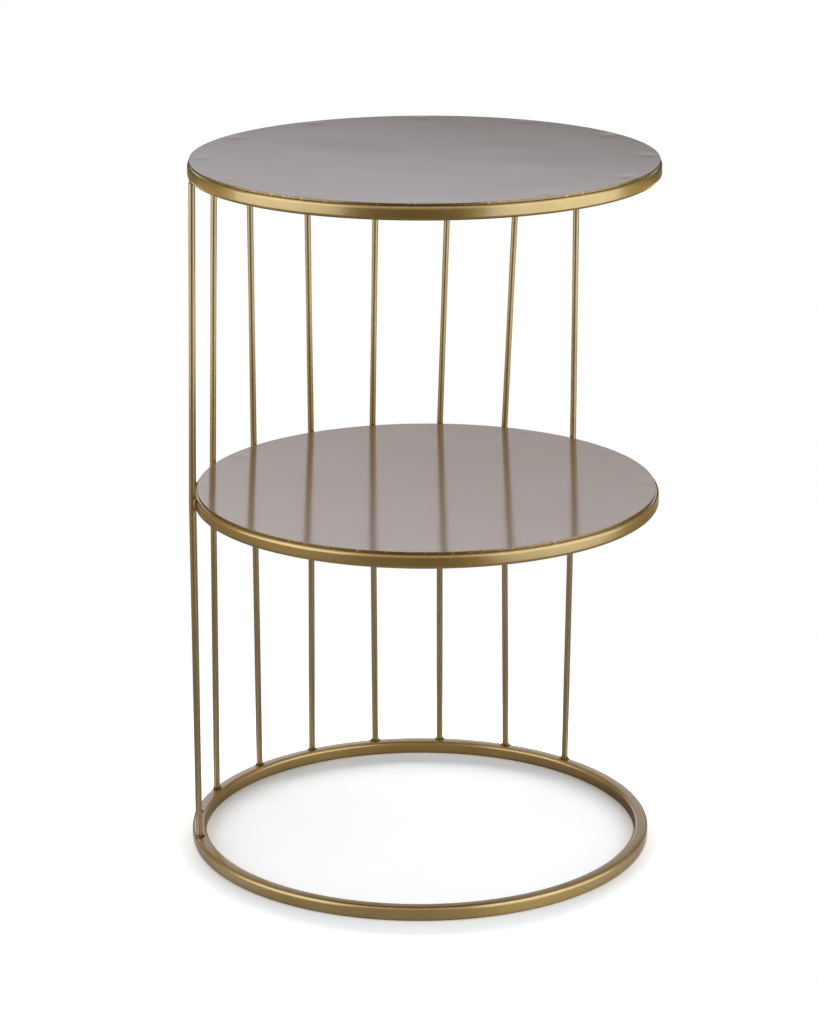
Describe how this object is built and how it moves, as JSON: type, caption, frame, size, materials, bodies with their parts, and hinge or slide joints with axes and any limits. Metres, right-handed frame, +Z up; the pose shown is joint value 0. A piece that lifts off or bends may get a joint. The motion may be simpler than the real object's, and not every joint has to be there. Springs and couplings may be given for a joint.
{
  "type": "side table",
  "caption": "Round side table: flat sheet-metal top and lower shelf on bent-tube rings, joined along one side by thin upright rods and standing on an open base ring.",
  "frame": {"origin": "on the floor, at the centre of the base ring", "axes": "+Z up; the pictured side faces -Y and +X is to its right, so the rods stand along the back and left and the front right is open"},
  "size_m": [0.4104, 0.4081, 0.61],
  "materials": {
    "gold_frame": "satin metallic gold lacquer on steel",
    "shelf_sheet": "smooth satin taupe-gold lacquer on sheet steel, soft reflections"
  },
  "bodies": {
    "root": {"base_ring": "gold_frame", "middle_ring": "gold_frame", "top_ring": "gold_frame", "middle_sheet": "shelf_sheet", "top_sheet": "shelf_sheet", "rod_1": "gold_frame", "rod_2": "gold_frame", "rod_3": "gold_frame", "rod_4": "gold_frame", "rod_5": "gold_frame", "rod_6": "gold_frame", "rod_7": "gold_frame", "rod_8": "gold_frame", "rod_9": "gold_frame", "base_welds": "gold_frame", "middle_welds": "gold_frame", "top_welds": "gold_frame", "middle_sheet_tacks": "gold_frame", "top_sheet_tacks": "gold_frame"}
  },
  "joints": []
}
